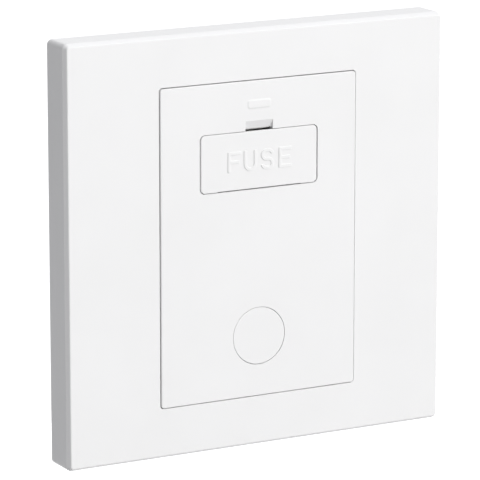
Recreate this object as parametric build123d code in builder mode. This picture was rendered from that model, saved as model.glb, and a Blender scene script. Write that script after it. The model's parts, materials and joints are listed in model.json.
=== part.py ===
from build123d import *
import os

# Fused spur unit for a one gang wall box, in millimetres.
# X runs to the right seen from the front, Y into the wall, Z up; the wall plane is Y = 0.
# Distances named front or back are measured from the wall plane towards the room, which is -Y.

# Cover plate
plate_side = 86.0
plate_corner_radius = 1.1
plate_inner_corner_radius = 0.8
plate_depth = 7.7
plate_bevel_depth = 1.0
plate_bevel_width = 0.6
plate_edge_radius = 0.3
plate_wall = 1.8
plate_front_wall = 2.4
window_collar_wall = 1.2
window_collar_depth = 2.2
window_edge_radius = 0.15
rib_thickness = 1.2
rib_spacing = 46.0
leg_thickness = 1.4
leg_width = 8.0
leg_spacing_x = 63.0
leg_spacing_z = 48.0
leg_end_gap = 0.3
leg_slot_clearance = 0.15

# Support frame behind the plate
frame_plate_gap = 1.7
frame_corner_radius = 3.0
frame_thickness = 1.8
frame_rim_height = 1.0
frame_rim_wall = 1.2
frame_opening_width = 39.0
frame_opening_height = 60.6
frame_opening_radius = 2.0
fixing_spacing = 60.3
fixing_slot_width = 4.2
fixing_slot_length = 6.4

# Module face seen through the plate's window
module_width = 44.5
module_height = 65.0
module_corner_radius = 0.6
module_edge_radius = 0.2
module_proud = 0.2
module_wall = 1.6
module_front_wall = 2.0
module_window_gap = 0.16
chamber_end_clearance = 0.2
chamber_height = 12.0
chamber_radius = 1.1
chamber_centre_z = 16.4
chamber_wall_side = 2.2
chamber_wall_end = 1.8
prise_slot_width = 6.3
prise_slot_height = 2.0
prise_slot_deep = 1.6
prise_ramp_deep = 0.75
prise_slit_height = 0.33
mark_width = 5.5
mark_height = 2.0
mark_radius = 0.65
mark_raise = 0.1
mark_bevel_width = 0.35
mark_centre_z = 27.75

# Flex outlet and its blank
outlet_centre_z = -20.0
outlet_radius = 6.0
outlet_bore_radius = 5.2
outlet_seat_depth = 1.5
outlet_tube_wall = 1.6
blank_gap = 0.09
blank_edge_radius = 0.12
blank_skirt_gap = 0.05
blank_skirt_length = 1.5
blank_skirt_wall = 1.1

# Fuse carrier, which tilts out about a pin low on its sides
carrier_side_gap = 0.24
carrier_top_gap = 0.13
carrier_bottom_gap = 0.09
carrier_raise = 0.05
carrier_corner_radius = 0.95
carrier_thickness = 1.9
carrier_edge_radius = 0.2
carrier_relief_width = 19.0
carrier_relief_height = 0.16
pivot_behind_face = 0.8
pivot_above_edge = 3.2
pivot_radius = 0.4
pivot_clearance = 0.05
pivot_length = 1.4
pivot_end_gap = 0.4
saddle_width = 2.6
saddle_spacing = 8.4
saddle_wall = 0.8
saddle_clearance = 0.1
saddle_reach = 1.2
lever_rib_width = 18.0
lever_rib_height = 1.4
lever_rib_depth = 1.0
lever_rib_below_edge = 1.8
lever_pocket_height = 1.5
lever_pocket_side_room = 0.4
lever_lip = 0.6

# Cartridge fuse
fuse_length = 25.4
fuse_cap_radius = 3.175
fuse_cap_length = 5.7
fuse_cap_end_wall = 0.55
fuse_barrel_radius = 2.85
fuse_cap_fit_gap = 0.02
fuse_end_fit_gap = 0.05
fuse_face_gap = 0.15

# Rear housing behind the frame
housing_width = 43.0
housing_height = 62.0
housing_corner_radius = 2.0
housing_flange = 2.8
housing_pocket_depth = 0.8
divider_thickness = 1.4
divider_back = 16.5
divider_groove_depth = 0.8
divider_groove_clearance = 0.05
bay_pitch = 11.2
live_bay_z = 18.4
boss_radius = 2.4
boss_length = 5.0
boss_end_gap = 0.05
pilot_radius = 1.15
pilot_end_wall = 0.5
housing_screw_x = 16.5
housing_screw_z = 27.6

# Barrier that covers the links between the terminals
barrier_terminal_gap = 2.0
barrier_divider_gap = 0.3
barrier_slab = 3.2
barrier_wall = 1.4
barrier_back = 13.0
barrier_bottom_z = -9.0
barrier_top_z = 30.0
barrier_screw_low_z = 1.6
barrier_screw_high_z = 27.2
link_channel_clearance = 0.15

# Contacts, links and terminals
strip_thickness = 0.8
link_width = 5.0
contact_blade_thickness = 0.55
contact_blade_gap = 0.05
contact_blade_width = 3.0
contact_blade_front = 4.6
contact_slot_clearance = 0.15
contact_tongue_reach = 2.1
terminal_side_margin = 2.9
terminal_length = 7.0
terminal_height = 7.8
terminal_depth = 8.5
terminal_edge_chamfer = 0.4
wire_bore_radius = 2.2
wire_bore_from_strip = 3.7

# Screws
terminal_screw_radius = 1.7
terminal_thread_gap = 0.05
terminal_screw_length = 3.5
terminal_screw_bore_gap = 0.1
terminal_head_radius = 2.8
terminal_head_height = 2.0
case_screw_radius = 1.1
case_screw_hole_radius = 1.6
case_head_radius = 2.4
case_head_height = 1.8
driver_slot_width = 0.9
driver_slot_depth = 1.0
head_edge_radius = 0.3

# Cord clamp
clamp_centre_z = -13.8
clamp_screw_spacing = 19.6
clamp_boss_radius = 2.5
clamp_boss_back = 8.5
clamp_bar_wall = 0.9
clamp_bar_end_margin = 0.3
clamp_bar_thickness = 2.4
clamp_tooth_length = 11.0
clamp_tooth_height = 0.8
clamp_tooth_raise = 0.7
clamp_tooth_spacing = 2.6

# Places worked out from the sizes above
plate_inside_front = plate_depth - plate_front_wall
frame_side = plate_side - 2 * (plate_wall + frame_plate_gap)
window_width = module_width + 2 * module_window_gap
window_height = module_height + 2 * module_window_gap
window_radius = module_corner_radius + module_window_gap
module_front = plate_depth + module_proud
module_inside_front = module_front - module_front_wall
carrier_front = module_front + carrier_raise
carrier_back = carrier_front - carrier_thickness
chamber_width = fuse_length + 2 * (contact_blade_gap + contact_blade_thickness + chamber_end_clearance)
chamber_bottom_z = chamber_centre_z - chamber_height / 2
chamber_top_z = chamber_centre_z + chamber_height / 2
carrier_width = chamber_width - 2 * carrier_side_gap
carrier_bottom_z = chamber_bottom_z + carrier_bottom_gap
carrier_top_z = chamber_top_z - carrier_top_gap
carrier_height = carrier_top_z - carrier_bottom_z
carrier_centre_z = (carrier_bottom_z + carrier_top_z) / 2
pivot_front = carrier_front - pivot_behind_face
pivot_z = carrier_bottom_z + pivot_above_edge
fuse_front = carrier_back - fuse_face_gap - fuse_cap_radius
fuse_z = chamber_centre_z
strip_front = -housing_flange
terminal_front = strip_front - strip_thickness
contact_blade_x = fuse_length / 2 + contact_blade_gap + contact_blade_thickness / 2
terminal_back = terminal_front - terminal_depth
terminal_inner_x = housing_width / 2 - terminal_side_margin - terminal_length
terminal_centre_x = terminal_inner_x + terminal_length / 2
wire_bore_front = terminal_front - wire_bore_from_strip
barrier_half_width = terminal_inner_x - barrier_terminal_gap
barrier_slab_back = strip_front - barrier_slab
contact_tongue_inner_x = barrier_half_width - contact_tongue_reach
neutral_bay_z = live_bay_z - bay_pitch
earth_bay_z = neutral_bay_z - bay_pitch
bay_centres_z = (live_bay_z, neutral_bay_z, earth_bay_z)
divider_inner_x = barrier_half_width + barrier_divider_gap
divider_length = housing_width / 2 - divider_inner_x
divider_places = [
    (side * (divider_inner_x + divider_length / 2), level - bay_pitch / 2)
    for side in (-1, 1)
    for level in (live_bay_z + bay_pitch, *bay_centres_z)
]
housing_screw_places = [
    (side * housing_screw_x, level * housing_screw_z) for side in (-1, 1) for level in (-1, 1)
]
barrier_screw_places = [(0, barrier_screw_low_z), (0, barrier_screw_high_z)]
clamp_bar_height = 2 * (case_screw_hole_radius + clamp_bar_wall)
clamp_screw_places = [(side * clamp_screw_spacing / 2, clamp_centre_z) for side in (-1, 1)]
terminal_screw_places = [(side * terminal_centre_x, level) for side in (-1, 1) for level in bay_centres_z]


def facing(front):
    """Plane parallel to the wall, this far in front of it, drawn as seen from the room."""
    return Plane.XZ.offset(front)


def keep(name, part):
    """Label a finished piece and write its file."""
    part.label = name
    export_step(part, f"parts/{name}.step")


def front_edges(part):
    """Edges around the face of a piece that is furthest towards the room."""
    return part.faces().sort_by(Axis.Y)[0].outer_wire().edges()


os.makedirs("parts", exist_ok=True)

# Cover plate: a clip-on shell with a bevelled front, a window and four straight legs
with BuildPart() as cover_plate:
    with BuildSketch(facing(0)):
        RectangleRounded(plate_side, plate_side, plate_corner_radius)
    extrude(amount=plate_depth - plate_bevel_depth)
    with BuildSketch(facing(plate_depth - plate_bevel_depth)):
        RectangleRounded(plate_side, plate_side, plate_corner_radius)
    with BuildSketch(facing(plate_depth)):
        RectangleRounded(
            plate_side - 2 * plate_bevel_width,
            plate_side - 2 * plate_bevel_width,
            plate_corner_radius - plate_bevel_width,
        )
    loft(ruled=True)
    fillet(front_edges(cover_plate), plate_edge_radius)
    with BuildSketch(facing(0)):
        RectangleRounded(
            plate_side - 2 * plate_wall, plate_side - 2 * plate_wall, plate_inner_corner_radius
        )
    extrude(amount=plate_inside_front, mode=Mode.SUBTRACT)
    with BuildSketch(facing(plate_inside_front)):
        RectangleRounded(
            window_width + 2 * window_collar_wall,
            window_height + 2 * window_collar_wall,
            window_radius + window_collar_wall,
        )
        with Locations((0, rib_spacing / 2), (0, -rib_spacing / 2)):
            Rectangle(plate_side - plate_wall, rib_thickness)
    extrude(amount=-window_collar_depth)
    with BuildSketch(facing(leg_end_gap)):
        with GridLocations(leg_spacing_x, leg_spacing_z, 2, 2):
            Rectangle(leg_thickness, leg_width)
    extrude(amount=plate_inside_front - leg_end_gap)
    with BuildSketch(facing(0)):
        RectangleRounded(window_width, window_height, window_radius)
    extrude(amount=plate_depth, mode=Mode.SUBTRACT)
    fillet(cover_plate.faces().sort_by(Axis.Y)[0].inner_wires()[0].edges(), window_edge_radius)
keep("cover_plate", cover_plate.part)

# Support frame: a flat yoke that screws to the wall box and takes the plate's legs
with BuildPart() as support_frame:
    with BuildSketch(facing(0)):
        RectangleRounded(frame_side, frame_side, frame_corner_radius)
        RectangleRounded(
            frame_opening_width, frame_opening_height, frame_opening_radius, mode=Mode.SUBTRACT
        )
        with GridLocations(fixing_spacing, 0, 2, 1):
            SlotOverall(fixing_slot_length, fixing_slot_width, mode=Mode.SUBTRACT)
        with GridLocations(leg_spacing_x, leg_spacing_z, 2, 2):
            Rectangle(
                leg_thickness + 2 * leg_slot_clearance,
                leg_width + 2 * leg_slot_clearance,
                mode=Mode.SUBTRACT,
            )
    extrude(amount=frame_thickness)
    with BuildSketch(facing(frame_thickness)):
        RectangleRounded(frame_side, frame_side, frame_corner_radius)
        RectangleRounded(
            frame_side - 2 * frame_rim_wall,
            frame_side - 2 * frame_rim_wall,
            frame_corner_radius - frame_rim_wall,
            mode=Mode.SUBTRACT,
        )
    extrude(amount=frame_rim_height)
keep("support_frame", support_frame.part)

# Module face: the inner front, with the fuse chamber, prise slot, outlet and screw bosses
with BuildPart() as module_face:
    with BuildSketch(facing(frame_thickness)):
        RectangleRounded(module_width, module_height, module_corner_radius)
    extrude(amount=module_front - frame_thickness)
    fillet(front_edges(module_face), module_edge_radius)
    with BuildSketch(facing(frame_thickness)):
        RectangleRounded(
            module_width - 2 * module_wall, module_height - 2 * module_wall, module_corner_radius
        )
    extrude(amount=module_inside_front - frame_thickness, mode=Mode.SUBTRACT)
    with BuildSketch(facing(boss_end_gap)):
        with Locations((0, chamber_centre_z)):
            Rectangle(chamber_width + 2 * chamber_wall_side, chamber_height + 2 * chamber_wall_end)
        with Locations((0, outlet_centre_z)):
            Circle(outlet_bore_radius + outlet_tube_wall)
        with Locations(*housing_screw_places):
            Circle(boss_radius)
    extrude(amount=module_inside_front - boss_end_gap)
    with BuildSketch(facing(module_front)):
        with Locations((0, mark_centre_z)):
            RectangleRounded(mark_width, mark_height, mark_radius)
    with BuildSketch(facing(module_front + mark_raise)):
        with Locations((0, mark_centre_z)):
            RectangleRounded(
                mark_width - 2 * mark_bevel_width,
                mark_height - 2 * mark_bevel_width,
                mark_radius - mark_bevel_width,
            )
    loft(ruled=True)
    with BuildSketch(facing(boss_end_gap)):
        with Locations((0, chamber_centre_z)):
            RectangleRounded(chamber_width, chamber_height, chamber_radius)
        with Locations((0, outlet_centre_z)):
            Circle(outlet_bore_radius)
    extrude(amount=module_front, mode=Mode.SUBTRACT)
    with BuildSketch(facing(module_front - outlet_seat_depth)):
        with Locations((0, outlet_centre_z)):
            Circle(outlet_radius)
    extrude(amount=outlet_seat_depth, mode=Mode.SUBTRACT)
    with BuildSketch(facing(boss_end_gap)):
        with Locations(*housing_screw_places):
            Circle(pilot_radius)
    extrude(amount=module_inside_front - pilot_end_wall, mode=Mode.SUBTRACT)
    with BuildSketch(Plane.YZ):
        with BuildLine():
            Polyline(
                (-module_front, chamber_top_z + prise_slot_height),
                (-module_front + prise_ramp_deep, chamber_top_z + prise_slit_height),
                (-module_front + prise_slot_deep, chamber_top_z + prise_slit_height),
                (-module_front + prise_slot_deep, chamber_centre_z),
                (-module_front, chamber_centre_z),
                close=True,
            )
        make_face()
    extrude(amount=prise_slot_width / 2, both=True, mode=Mode.SUBTRACT)
    with BuildSketch(Plane.YZ):
        with Locations((-pivot_front, pivot_z)):
            Circle(pivot_radius + pivot_clearance)
    extrude(amount=carrier_width / 2 + pivot_length + pivot_end_gap, both=True, mode=Mode.SUBTRACT)
keep("module_face", module_face.part)

# Flex outlet blank: a round cap with a short skirt, pressed into the outlet
with BuildPart() as flex_outlet_blank:
    with BuildSketch(facing(module_front - outlet_seat_depth)):
        with Locations((0, outlet_centre_z)):
            Circle(outlet_radius - blank_gap)
    extrude(amount=outlet_seat_depth)
    fillet(front_edges(flex_outlet_blank), blank_edge_radius)
    with BuildSketch(facing(module_front - outlet_seat_depth)):
        with Locations((0, outlet_centre_z)):
            Circle(outlet_bore_radius - blank_skirt_gap)
            Circle(outlet_bore_radius - blank_skirt_gap - blank_skirt_wall, mode=Mode.SUBTRACT)
    extrude(amount=-blank_skirt_length)
keep("flex_outlet_blank", flex_outlet_blank.part)

# Fuse carrier: the tilting door, with a lip to prise at, pins at its sides and two saddles for the fuse
with BuildPart() as fuse_carrier:
    with BuildSketch(facing(carrier_back)):
        with Locations((0, carrier_centre_z)):
            RectangleRounded(carrier_width, carrier_height, carrier_corner_radius)
    extrude(amount=carrier_thickness)
    fillet(front_edges(fuse_carrier), carrier_edge_radius)
    with BuildSketch(facing(carrier_back)):
        with Locations((0, carrier_bottom_z)):
            Rectangle(carrier_relief_width, 2 * carrier_relief_height)
    extrude(amount=carrier_thickness, mode=Mode.SUBTRACT)
    with BuildSketch(facing(carrier_back)):
        with Locations((0, carrier_top_z)):
            Rectangle(prise_slot_width + 2 * lever_pocket_side_room, 2 * lever_pocket_height)
    extrude(amount=carrier_thickness - lever_lip, mode=Mode.SUBTRACT)
    with BuildSketch(facing(carrier_back)):
        with Locations((0, carrier_top_z - lever_rib_below_edge - lever_rib_height / 2)):
            Rectangle(lever_rib_width, lever_rib_height)
    extrude(amount=-lever_rib_depth)
    with BuildSketch(Plane.YZ):
        with Locations((-pivot_front, pivot_z)):
            Circle(pivot_radius)
    extrude(amount=carrier_width / 2 + pivot_length, both=True)
    for side in (-1, 1):
        with BuildSketch(Plane.YZ.offset(side * saddle_spacing / 2)):
            with Locations((-fuse_front, fuse_z)):
                Circle(fuse_barrel_radius + saddle_clearance + saddle_wall)
                Circle(fuse_barrel_radius + saddle_clearance, mode=Mode.SUBTRACT)
            with Locations((-fuse_front + saddle_reach, fuse_z)):
                Rectangle(
                    carrier_height,
                    carrier_height,
                    align=(Align.MIN, Align.CENTER),
                    mode=Mode.SUBTRACT,
                )
        extrude(amount=saddle_width / 2, both=True)
keep("fuse_carrier", fuse_carrier.part)

# Cartridge fuse: a ceramic barrel and two metal end caps
with BuildPart() as fuse_barrel:
    with BuildSketch(Plane.YZ):
        with Locations((-fuse_front, fuse_z)):
            Circle(fuse_barrel_radius)
    extrude(amount=fuse_length / 2 - fuse_cap_end_wall - fuse_end_fit_gap, both=True)
keep("fuse_barrel", fuse_barrel.part)

for side, side_name in ((-1, "left"), (1, "right")):
    with BuildPart() as fuse_cap:
        with BuildSketch(Plane.YZ.offset(side * fuse_length / 2)):
            with Locations((-fuse_front, fuse_z)):
                Circle(fuse_cap_radius)
        extrude(amount=-side * fuse_cap_length)
        with BuildSketch(Plane.YZ.offset(side * (fuse_length / 2 - fuse_cap_end_wall))):
            with Locations((-fuse_front, fuse_z)):
                Circle(fuse_barrel_radius + fuse_cap_fit_gap)
        extrude(amount=-side * fuse_cap_length, mode=Mode.SUBTRACT)
    keep(f"fuse_cap_{side_name}", fuse_cap.part)

# Rear housing: a flange behind the frame, with a notch for the flex and grooves for the bay dividers
with BuildPart() as rear_housing:
    with BuildSketch(facing(strip_front)):
        RectangleRounded(housing_width, housing_height, housing_corner_radius)
    extrude(amount=housing_flange)
    with BuildSketch(facing(strip_front)):
        with Locations(*divider_places):
            Rectangle(
                divider_length + 2 * divider_groove_clearance,
                divider_thickness + 2 * divider_groove_clearance,
            )
    extrude(amount=divider_groove_depth + divider_groove_clearance, mode=Mode.SUBTRACT)
    with BuildSketch(facing(strip_front)):
        with Locations(*clamp_screw_places):
            Circle(clamp_boss_radius)
    extrude(amount=-(clamp_boss_back - housing_flange))
    with BuildSketch(facing(0)):
        with Locations(*barrier_screw_places):
            Circle(boss_radius)
    extrude(amount=boss_length)
    with BuildSketch(facing(-housing_pocket_depth)):
        with Locations((0, chamber_centre_z)):
            RectangleRounded(chamber_width, chamber_height, chamber_radius)
    extrude(amount=housing_pocket_depth, mode=Mode.SUBTRACT)
    with BuildSketch(facing(strip_front)):
        for side in (-1, 1):
            with Locations((side * contact_blade_x, fuse_z)):
                Rectangle(
                    contact_blade_thickness + 2 * contact_slot_clearance,
                    contact_blade_width + 2 * contact_slot_clearance,
                )
        with Locations((0, outlet_centre_z)):
            Circle(outlet_bore_radius)
            Rectangle(
                2 * outlet_bore_radius,
                housing_height / 2 + outlet_centre_z,
                align=(Align.CENTER, Align.MAX),
            )
        with Locations(*housing_screw_places):
            Circle(case_screw_hole_radius)
    extrude(amount=housing_flange, mode=Mode.SUBTRACT)
    with BuildSketch(facing(strip_front)):
        with Locations(*barrier_screw_places):
            Circle(pilot_radius)
    extrude(amount=housing_flange + boss_length - pilot_end_wall, mode=Mode.SUBTRACT)
    with BuildSketch(facing(-clamp_boss_back)):
        with Locations(*clamp_screw_places):
            Circle(pilot_radius)
    extrude(amount=clamp_boss_back - pilot_end_wall, mode=Mode.SUBTRACT)
keep("rear_housing", rear_housing.part)

# Bay dividers: insulating plates pressed into the housing's grooves, one above and below each terminal
with BuildPart() as bay_dividers:
    with BuildSketch(facing(strip_front + divider_groove_depth)):
        with Locations(*divider_places):
            Rectangle(divider_length, divider_thickness)
    extrude(amount=-(divider_back + strip_front + divider_groove_depth))
keep("bay_dividers", bay_dividers.part)

# Live contacts: a foot under each live terminal and a blade that wipes the fuse's end
for side, side_name in ((-1, "supply"), (1, "load")):
    with BuildPart() as live_contact:
        with BuildSketch(facing(strip_front)):
            with Locations((side * terminal_centre_x, live_bay_z)):
                Rectangle(terminal_length, terminal_height)
            with Locations((side * contact_tongue_inner_x, fuse_z)):
                Rectangle(
                    terminal_centre_x - contact_tongue_inner_x,
                    contact_blade_width,
                    align=(Align.MIN if side > 0 else Align.MAX, Align.CENTER),
                )
        extrude(amount=-strip_thickness)
        with BuildSketch(facing(strip_front)):
            with Locations((side * contact_blade_x, fuse_z)):
                Rectangle(contact_blade_thickness, contact_blade_width)
        extrude(amount=contact_blade_front - strip_front)
    keep(f"live_{side_name}_contact", live_contact.part)

# Neutral and earth links: flat strips that join the supply and load terminals
for circuit, level in (("neutral", neutral_bay_z), ("earth", earth_bay_z)):
    with BuildPart() as link:
        with BuildSketch(facing(strip_front)):
            with Locations((0, level)):
                Rectangle(2 * (terminal_inner_x + terminal_length), link_width)
        extrude(amount=-strip_thickness)
    keep(f"{circuit}_link", link.part)

# Terminals: brass pillar blocks, each with a wire hole from the side and a screw hole from behind
for circuit, level in (("live", live_bay_z), ("neutral", neutral_bay_z), ("earth", earth_bay_z)):
    for side, side_name in ((-1, "supply"), (1, "load")):
        with BuildPart() as terminal:
            with BuildSketch(facing(terminal_front)):
                with Locations((side * terminal_centre_x, level)):
                    Rectangle(terminal_length, terminal_height)
            extrude(amount=-terminal_depth)
            chamfer(terminal.faces().sort_by(Axis.Y)[-1].edges(), terminal_edge_chamfer)
            with BuildSketch(Plane.YZ.offset(side * terminal_inner_x)):
                with Locations((-wire_bore_front, level)):
                    Circle(wire_bore_radius)
            extrude(amount=side * terminal_length, mode=Mode.SUBTRACT)
            with BuildSketch(facing(terminal_back)):
                with Locations((side * terminal_centre_x, level)):
                    Circle(terminal_screw_radius + terminal_thread_gap)
            extrude(amount=wire_bore_front - terminal_back, mode=Mode.SUBTRACT)
        keep(f"{circuit}_{side_name}_terminal", terminal.part)

# Terminal barrier: an insulating cover over the links, with a wall beside each row of bays
with BuildPart() as terminal_barrier:
    barrier_height = barrier_top_z - barrier_bottom_z
    with BuildSketch(facing(strip_front)):
        with Locations((0, barrier_bottom_z)):
            Rectangle(2 * barrier_half_width, barrier_height, align=(Align.CENTER, Align.MIN))
    extrude(amount=-barrier_slab)
    with BuildSketch(facing(barrier_slab_back)):
        for side in (-1, 1):
            with Locations((side * (barrier_half_width - barrier_wall / 2), barrier_bottom_z)):
                Rectangle(barrier_wall, barrier_height, align=(Align.CENTER, Align.MIN))
    extrude(amount=-(barrier_back + barrier_slab_back))
    channel_width = link_width + 2 * link_channel_clearance
    with BuildSketch(facing(strip_front)):
        for level in (neutral_bay_z, earth_bay_z):
            with Locations((0, level)):
                Rectangle(2 * barrier_half_width, channel_width)
        for side in (-1, 1):
            with Locations((side * barrier_half_width, fuse_z)):
                Rectangle(
                    contact_tongue_reach + link_channel_clearance,
                    contact_blade_width + 2 * link_channel_clearance,
                    align=(Align.MAX if side > 0 else Align.MIN, Align.CENTER),
                )
    extrude(amount=-(strip_thickness + link_channel_clearance), mode=Mode.SUBTRACT)
    with BuildSketch(facing(strip_front)):
        with Locations(*barrier_screw_places):
            Circle(case_screw_hole_radius)
    extrude(amount=-barrier_slab, mode=Mode.SUBTRACT)
keep("terminal_barrier", terminal_barrier.part)

# Cord clamp bar: a bar with two gripping teeth across the flex
with BuildPart() as cord_clamp_bar:
    with BuildSketch(facing(-clamp_boss_back)):
        with Locations((0, clamp_centre_z)):
            SlotCenterToCenter(clamp_screw_spacing + 2 * clamp_bar_end_margin, clamp_bar_height)
        with Locations(*clamp_screw_places):
            Circle(case_screw_hole_radius, mode=Mode.SUBTRACT)
    extrude(amount=-clamp_bar_thickness)
    with BuildSketch(facing(-clamp_boss_back)):
        with Locations((0, clamp_centre_z)):
            with GridLocations(0, clamp_tooth_spacing, 1, 2):
                Rectangle(clamp_tooth_length, clamp_tooth_height)
    extrude(amount=clamp_tooth_raise)
keep("cord_clamp_bar", cord_clamp_bar.part)


def slotted_screws(name, places, seat, shank_radius, shank_length, head_radius, head_height):
    """Screws put in from behind, their heads behind a seat plane, as one group of solids."""
    with BuildPart() as screws:
        with BuildSketch(facing(seat)):
            with Locations(*places):
                Circle(head_radius)
        extrude(amount=-head_height)
        head_rims = screws.edges().group_by(Axis.Y)[-1]
        fillet(head_rims, head_edge_radius)
        with BuildSketch(facing(seat)):
            with Locations(*places):
                Circle(shank_radius)
        extrude(amount=shank_length)
        with BuildSketch(facing(seat - head_height)):
            with Locations(*places):
                Rectangle(2 * head_radius, driver_slot_width)
        extrude(amount=driver_slot_depth, mode=Mode.SUBTRACT)
    keep(name, screws.part)


# Screws
terminal_seat = wire_bore_front - wire_bore_radius - terminal_screw_bore_gap - terminal_screw_length
slotted_screws(
    "terminal_screws",
    terminal_screw_places,
    terminal_seat,
    terminal_screw_radius,
    terminal_screw_length,
    terminal_head_radius,
    terminal_head_height,
)
slotted_screws(
    "housing_screws",
    housing_screw_places,
    strip_front,
    case_screw_radius,
    housing_flange + boss_length,
    case_head_radius,
    case_head_height,
)
slotted_screws(
    "barrier_screws",
    barrier_screw_places,
    barrier_slab_back,
    case_screw_radius,
    barrier_slab + boss_length,
    case_head_radius,
    case_head_height,
)
slotted_screws(
    "cord_clamp_screws",
    clamp_screw_places,
    -clamp_boss_back - clamp_bar_thickness,
    case_screw_radius,
    clamp_bar_thickness + boss_length,
    case_head_radius,
    case_head_height,
)
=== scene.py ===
import json
import math

import bmesh
import bpy
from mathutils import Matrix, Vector


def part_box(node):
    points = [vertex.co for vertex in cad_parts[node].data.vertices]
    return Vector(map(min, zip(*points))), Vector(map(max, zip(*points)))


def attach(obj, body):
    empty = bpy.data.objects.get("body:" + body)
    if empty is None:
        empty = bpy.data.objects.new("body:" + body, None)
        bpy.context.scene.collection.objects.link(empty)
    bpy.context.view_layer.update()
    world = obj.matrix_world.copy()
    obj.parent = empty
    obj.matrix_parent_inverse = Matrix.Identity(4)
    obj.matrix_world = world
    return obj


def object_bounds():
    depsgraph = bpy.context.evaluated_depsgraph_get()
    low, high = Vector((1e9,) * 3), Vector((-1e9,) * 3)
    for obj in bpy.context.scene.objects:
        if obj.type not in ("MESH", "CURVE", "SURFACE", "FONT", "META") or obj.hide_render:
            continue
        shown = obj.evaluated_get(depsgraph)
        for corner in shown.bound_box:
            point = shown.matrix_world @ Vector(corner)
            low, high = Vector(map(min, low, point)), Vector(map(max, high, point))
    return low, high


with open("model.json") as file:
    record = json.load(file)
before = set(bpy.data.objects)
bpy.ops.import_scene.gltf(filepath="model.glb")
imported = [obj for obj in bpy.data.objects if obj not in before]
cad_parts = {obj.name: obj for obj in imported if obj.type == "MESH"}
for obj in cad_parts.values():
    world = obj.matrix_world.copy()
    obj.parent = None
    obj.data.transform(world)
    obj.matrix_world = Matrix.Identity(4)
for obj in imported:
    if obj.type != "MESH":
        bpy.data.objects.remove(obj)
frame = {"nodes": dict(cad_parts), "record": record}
cad_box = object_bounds()
MM = 0.001

# Camera, at the photograph's viewing angle
CAMERA_AZIMUTH = math.radians(-28.65)
CAMERA_ELEVATION = math.radians(12.67)
CAMERA_DISTANCE = 730 * MM
CAMERA_TARGET = Vector((-0.08 * MM, 0.0, -1.72 * MM))
CAMERA_LENS = 269.3
SENSOR_WIDTH = 36.0

# Raised word on the fuse carrier
LETTER_HEIGHT = 4.2 * MM
LETTER_WIDTH = 2.95 * MM
LETTER_GAPS = (0.7 * MM, 0.95 * MM, 1.15 * MM)
LETTER_STROKE = 0.65 * MM
LETTER_RAISE = 0.145 * MM
LETTER_SINK = 0.05 * MM
LETTER_BEVEL = 0.07 * MM
BEVEL_STEPS = 3
MIDDLE_BAR_SHARE = 0.86
S_END_ANGLE = 10
ARC_STEPS = 10
MERGE_DISTANCE = 0.0001 * MM
WORD_LEFT_X = -7.2 * MM
WORD_CENTRE_Z = 16.36 * MM

# Relief and grain of the surfaces
PLASTIC_RELIEF = 0.15
METAL_RELIEF = 0.2
METAL_LINE_DEPTH = 0.02 * MM
METAL_LINE_SIZE = 0.25 * MM
TARNISH_SIZE = 3 * MM

# Floor
FLOOR_DROP = 300 * MM
FLOOR_SIZE = 12.0
FLOOR_COLOUR = (0.4, 0.4, 0.4)
FLOOR_GLOW = 0.9

# Lights: a soft dome that is brighter towards its slope, and two soft lamps
DOME_COLOUR = (0.985, 0.99, 1.025)
DOME_LEVEL = 0.705
DOME_SLOPE = (0.6, -0.11, 0.05)
KEY_PLACE = (0.45, -1.1, 0.5)
KEY_WIDTH = 1.6
KEY_HEIGHT = 1.6
KEY_WATTS = 11.1
KEY_COLOUR = (1.0, 0.99, 0.965)
BACK_PLACE = (0.3, 1.1, -0.12)
BACK_WIDTH = 0.8
BACK_HEIGHT = 0.3
BACK_WATTS = 3.0


def new_material(name):
    """An empty node material with its shader and output, ready for texture nodes."""
    material = bpy.data.materials.new(name)
    material.use_nodes = True
    nodes = material.node_tree.nodes
    nodes.clear()
    shader = nodes.new("ShaderNodeBsdfPrincipled")
    output = nodes.new("ShaderNodeOutputMaterial")
    material.node_tree.links.new(shader.outputs["BSDF"], output.inputs["Surface"])
    return material, shader


def noise(material, feature_size, detail=2.0, stretch=(1, 1, 1)):
    """Noise over the object's own coordinates, with features about this many metres across."""
    nodes = material.node_tree.nodes
    links = material.node_tree.links
    place = nodes.new("ShaderNodeTexCoord")
    mapping = nodes.new("ShaderNodeMapping")
    mapping.inputs["Scale"].default_value = stretch
    texture = nodes.new("ShaderNodeTexNoise")
    texture.inputs["Scale"].default_value = 1 / feature_size
    texture.inputs["Detail"].default_value = detail
    links.new(place.outputs["Object"], mapping.inputs["Vector"])
    links.new(mapping.outputs["Vector"], texture.inputs["Vector"])
    return texture.outputs["Fac"]


def ramp(material, factor, low, high, start=0.35, end=0.65):
    """Colours that run from low to high as the factor goes from start to end."""
    node = material.node_tree.nodes.new("ShaderNodeValToRGB")
    node.color_ramp.elements[0].position = start
    node.color_ramp.elements[1].position = end
    node.color_ramp.elements[0].color = (*low, 1)
    node.color_ramp.elements[1].color = (*high, 1)
    material.node_tree.links.new(factor, node.inputs["Fac"])
    return node.outputs["Color"]


def spread(material, factor, low, high):
    """A number that runs from low to high with the factor."""
    node = material.node_tree.nodes.new("ShaderNodeMapRange")
    node.inputs["To Min"].default_value = low
    node.inputs["To Max"].default_value = high
    material.node_tree.links.new(factor, node.inputs["Value"])
    return node.outputs["Result"]


def bump(material, shader, height, strength, depth):
    """Relief on the shader's normal from a height, this many metres deep."""
    node = material.node_tree.nodes.new("ShaderNodeBump")
    node.inputs["Strength"].default_value = strength
    node.inputs["Distance"].default_value = depth
    material.node_tree.links.new(height, node.inputs["Height"])
    material.node_tree.links.new(node.outputs["Normal"], shader.inputs["Normal"])


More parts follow.
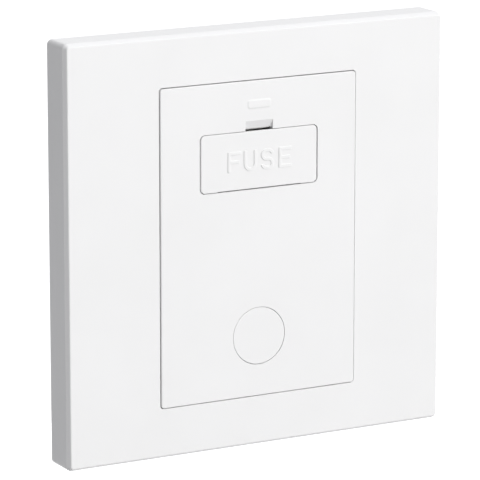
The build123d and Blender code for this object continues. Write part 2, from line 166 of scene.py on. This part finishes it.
def plastic(name, low, high, rough, cloud_size, grain_size, grain_depth):
    """Moulded plastic or ceramic: a faint cloud in the colour, a fine grain in the gloss and relief."""
    material, shader = new_material(name)
    links = material.node_tree.links
    cloud = noise(material, cloud_size)
    grain = noise(material, grain_size, detail=4.0)
    links.new(ramp(material, cloud, low, high), shader.inputs["Base Color"])
    links.new(spread(material, grain, *rough), shader.inputs["Roughness"])
    bump(material, shader, grain, PLASTIC_RELIEF, grain_depth)
    return material


def metal(name, low, high, rough, stretch):
    """Worked metal: fine lines along one direction and a slow change of colour."""
    material, shader = new_material(name)
    links = material.node_tree.links
    tarnish = noise(material, TARNISH_SIZE, detail=3.0)
    lines = noise(material, METAL_LINE_SIZE, detail=3.0, stretch=stretch)
    links.new(ramp(material, tarnish, low, high), shader.inputs["Base Color"])
    links.new(spread(material, lines, *rough), shader.inputs["Roughness"])
    shader.inputs["Metallic"].default_value = 1.0
    bump(material, shader, lines, METAL_RELIEF, METAL_LINE_DEPTH)
    return material


# Materials, one for each slot of the record
white_plastic = plastic(
    "white_plastic",
    low=(0.865, 0.865, 0.862),
    high=(0.88, 0.88, 0.878),
    rough=(0.28, 0.35),
    cloud_size=18 * MM,
    grain_size=0.25 * MM,
    grain_depth=0.01 * MM,
)
frame_plastic = plastic(
    "frame_plastic",
    low=(0.47, 0.48, 0.49),
    high=(0.51, 0.52, 0.53),
    rough=(0.45, 0.6),
    cloud_size=12 * MM,
    grain_size=0.3 * MM,
    grain_depth=0.03 * MM,
)
housing_plastic = plastic(
    "housing_plastic",
    low=(0.71, 0.71, 0.67),
    high=(0.76, 0.76, 0.72),
    rough=(0.4, 0.55),
    cloud_size=9 * MM,
    grain_size=0.3 * MM,
    grain_depth=0.03 * MM,
)
fuse_ceramic = plastic(
    "fuse_ceramic",
    low=(0.76, 0.72, 0.63),
    high=(0.82, 0.79, 0.71),
    rough=(0.55, 0.75),
    cloud_size=1.2 * MM,
    grain_size=0.15 * MM,
    grain_depth=0.04 * MM,
)
brass = metal(
    "brass",
    low=(0.64, 0.42, 0.15),
    high=(0.76, 0.53, 0.22),
    rough=(0.2, 0.38),
    stretch=(1, 1, 0.08),
)
plated_caps = metal(
    "plated_caps",
    low=(0.62, 0.60, 0.56),
    high=(0.72, 0.71, 0.68),
    rough=(0.15, 0.28),
    stretch=(0.1, 1, 1),
)
zinc_screws = metal(
    "zinc_screws",
    low=(0.58, 0.60, 0.62),
    high=(0.68, 0.70, 0.73),
    rough=(0.2, 0.35),
    stretch=(1, 0.1, 1),
)
finishes = {
    "white_plastic": white_plastic,
    "frame_plastic": frame_plastic,
    "housing_plastic": housing_plastic,
    "fuse_ceramic": fuse_ceramic,
    "brass": brass,
    "plated_caps": plated_caps,
    "zinc_screws": zinc_screws,
}
for row in frame["record"]["subparts"]:
    node = frame["nodes"][row["node"]]
    node.data.materials.clear()
    node.data.materials.append(finishes[row["material_slot"]])


def arc(centre_x, centre_y, radius, start, end):
    """Points along an arc, angles in degrees, counted the way they run from start to end."""
    angles = [math.radians(start + (end - start) * i / ARC_STEPS) for i in range(ARC_STEPS + 1)]
    return [(centre_x + radius * math.cos(a), centre_y + radius * math.sin(a)) for a in angles]


def letter_outlines():
    """Outlines of F, U, S and E with the lower left corner of each at the origin."""
    wide, high, stroke = LETTER_WIDTH, LETTER_HEIGHT, LETTER_STROKE
    middle = high / 2 + stroke / 2
    short = MIDDLE_BAR_SHARE * wide
    upper_bars = [
        (stroke, middle - stroke), (short, middle - stroke), (short, middle), (stroke, middle),
        (stroke, high - stroke), (wide, high - stroke), (wide, high), (0, high),
    ]
    letter_f = [(0, 0), (stroke, 0)] + upper_bars
    letter_e = [(0, 0), (wide, 0), (wide, stroke), (stroke, stroke)] + upper_bars
    round_out = wide / 2
    round_in = round_out - stroke
    letter_u = [(0, high)]
    letter_u += arc(round_out, round_out, round_out, 180, 360)
    letter_u += [(wide, high), (wide - stroke, high)]
    letter_u += arc(round_out, round_out, round_in, 360, 180)
    letter_u += [(stroke, high)]
    bowl = (high + stroke) / 4
    bowl_in = bowl - stroke
    left, right = bowl, wide - bowl
    low, top = bowl, high - bowl
    letter_s = arc(left, low, bowl, 180 + S_END_ANGLE, 270) + arc(right, low, bowl, 270, 450)
    letter_s += arc(left, top, bowl_in, 270, 90) + arc(right, top, bowl_in, 90, S_END_ANGLE)
    letter_s += arc(right, top, bowl, S_END_ANGLE, 90) + arc(left, top, bowl, 90, 270)
    letter_s += arc(right, low, bowl_in, 90, -90) + arc(left, low, bowl_in, 270, 180 + S_END_ANGLE)
    return [letter_f, letter_u, letter_s, letter_e]


def raised_letters(name, outlines, centre_z, face_y):
    """One mesh of raised letters with rounded edges, standing on a face that looks towards -Y."""
    mesh = bpy.data.meshes.new(name)
    shape = bmesh.new()
    for index, outline in enumerate(outlines):
        left = WORD_LEFT_X + index * LETTER_WIDTH + sum(LETTER_GAPS[:index])
        bottom = centre_z - LETTER_HEIGHT / 2
        corners = [shape.verts.new((left + x, face_y + LETTER_SINK, bottom + y)) for x, y in outline]
        face = shape.faces.new(corners)
        sides = bmesh.ops.extrude_face_region(shape, geom=[face])
        fronts = [v for v in sides["geom"] if isinstance(v, bmesh.types.BMVert)]
        bmesh.ops.translate(shape, verts=fronts, vec=(0, -LETTER_RAISE - LETTER_SINK, 0))
    bmesh.ops.remove_doubles(shape, verts=shape.verts, dist=MERGE_DISTANCE)
    bmesh.ops.recalc_face_normals(shape, faces=shape.faces)
    shape.to_mesh(mesh)
    shape.free()
    piece = bpy.data.objects.new(name, mesh)
    bpy.context.scene.collection.objects.link(piece)
    rounding = piece.modifiers.new("rounding", "BEVEL")
    rounding.width = LETTER_BEVEL
    rounding.segments = BEVEL_STEPS
    rounding.limit_method = "ANGLE"
    mesh.materials.append(white_plastic)
    return piece


# Word on the carrier's front, moving with the carrier
carrier_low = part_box("fuse_carrier")[0]
word = raised_letters("fuse_word", letter_outlines(), WORD_CENTRE_Z, carrier_low.y)
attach(word, "carrier")


def seen_directly(tree):
    """A factor of 1 for rays from the camera, a reflection or glass, and 0 for the light on the object."""
    path = tree.nodes.new("ShaderNodeLightPath")
    factor = path.outputs["Is Camera Ray"]
    for ray in ("Is Glossy Ray", "Is Transmission Ray"):
        either = tree.nodes.new("ShaderNodeMath")
        either.operation = "ADD"
        either.use_clamp = True
        tree.links.new(factor, either.inputs[0])
        tree.links.new(path.outputs[ray], either.inputs[1])
        factor = either.outputs["Value"]
    return factor


def floor_finish():
    """A pale matt floor that also glows where it is seen directly."""
    material = bpy.data.materials.new("floor")
    material.use_nodes = True
    tree = material.node_tree
    tree.nodes.clear()
    matt = tree.nodes.new("ShaderNodeBsdfDiffuse")
    matt.inputs["Color"].default_value = (*FLOOR_COLOUR, 1)
    glow = tree.nodes.new("ShaderNodeEmission")
    glow_level = tree.nodes.new("ShaderNodeMath")
    glow_level.operation = "MULTIPLY"
    glow_level.inputs[1].default_value = FLOOR_GLOW
    both = tree.nodes.new("ShaderNodeAddShader")
    output = tree.nodes.new("ShaderNodeOutputMaterial")
    tree.links.new(seen_directly(tree), glow_level.inputs[0])
    tree.links.new(glow_level.outputs["Value"], glow.inputs["Strength"])
    tree.links.new(matt.outputs["BSDF"], both.inputs[0])
    tree.links.new(glow.outputs["Emission"], both.inputs[1])
    tree.links.new(both.outputs["Shader"], output.inputs["Surface"])
    return material


# Floor, plain and well below the object
half = FLOOR_SIZE / 2
floor_z = cad_box[0].z - FLOOR_DROP
floor_corners = [
    (-half, -half, floor_z),
    (half, -half, floor_z),
    (half, half, floor_z),
    (-half, half, floor_z),
]
floor_mesh = bpy.data.meshes.new("floor")
floor_mesh.from_pydata(floor_corners, [], [(0, 1, 2, 3)])
floor_mesh.materials.append(floor_finish())
floor = bpy.data.objects.new("floor", floor_mesh)
bpy.context.scene.collection.objects.link(floor)


def studio_world():
    """White where it is seen directly, and otherwise a soft dome that is brighter towards its slope."""
    world = bpy.data.worlds.new("studio")
    world.use_nodes = True
    tree = world.node_tree
    tree.nodes.clear()
    direction = tree.nodes.new("ShaderNodeTexCoord")
    toward = tree.nodes.new("ShaderNodeVectorMath")
    toward.operation = "DOT_PRODUCT"
    toward.inputs[1].default_value = DOME_SLOPE
    level = tree.nodes.new("ShaderNodeMath")
    level.operation = "ADD"
    level.inputs[1].default_value = DOME_LEVEL
    dome = tree.nodes.new("ShaderNodeBackground")
    dome.inputs["Color"].default_value = (*DOME_COLOUR, 1)
    backdrop = tree.nodes.new("ShaderNodeBackground")
    backdrop.inputs["Color"].default_value = (1, 1, 1, 1)
    backdrop.inputs["Strength"].default_value = 1.0
    choose = tree.nodes.new("ShaderNodeMixShader")
    output = tree.nodes.new("ShaderNodeOutputWorld")
    tree.links.new(direction.outputs["Generated"], toward.inputs[0])
    tree.links.new(toward.outputs["Value"], level.inputs[0])
    tree.links.new(level.outputs["Value"], dome.inputs["Strength"])
    tree.links.new(seen_directly(tree), choose.inputs["Fac"])
    tree.links.new(dome.outputs["Background"], choose.inputs[1])
    tree.links.new(backdrop.outputs["Background"], choose.inputs[2])
    tree.links.new(choose.outputs["Shader"], output.inputs["Surface"])
    return world


def softbox(name, place, width, height, watts, colour=(1, 1, 1), in_reflections=True):
    """A rectangular soft light that looks at the object's centre, and may be kept out of reflections."""
    light = bpy.data.lights.new(name, "AREA")
    light.shape = "RECTANGLE"
    light.size = width
    light.size_y = height
    light.energy = watts
    light.color = colour
    lamp = bpy.data.objects.new(name, light)
    lamp.location = place
    lamp.rotation_mode = "QUATERNION"
    lamp.rotation_quaternion = (-Vector(place)).to_track_quat("-Z", "Y")
    lamp.visible_glossy = in_reflections
    bpy.context.scene.collection.objects.link(lamp)


# Lights
bpy.context.scene.world = studio_world()
softbox("key", KEY_PLACE, KEY_WIDTH, KEY_HEIGHT, KEY_WATTS, KEY_COLOUR)
softbox("back", BACK_PLACE, BACK_WIDTH, BACK_HEIGHT, BACK_WATTS, in_reflections=False)

# Camera
away = Vector((
    math.sin(CAMERA_AZIMUTH) * math.cos(CAMERA_ELEVATION),
    -math.cos(CAMERA_AZIMUTH) * math.cos(CAMERA_ELEVATION),
    math.sin(CAMERA_ELEVATION),
))
camera_data = bpy.data.cameras.new("camera")
camera_data.lens = CAMERA_LENS
camera_data.sensor_width = SENSOR_WIDTH
camera = bpy.data.objects.new("camera", camera_data)
camera.location = CAMERA_TARGET + CAMERA_DISTANCE * away
camera.rotation_mode = "QUATERNION"
camera.rotation_quaternion = (-away).to_track_quat("-Z", "Y")
bpy.context.scene.collection.objects.link(camera)
bpy.context.scene.camera = camera
bpy.context.scene.view_settings.view_transform = "Standard"
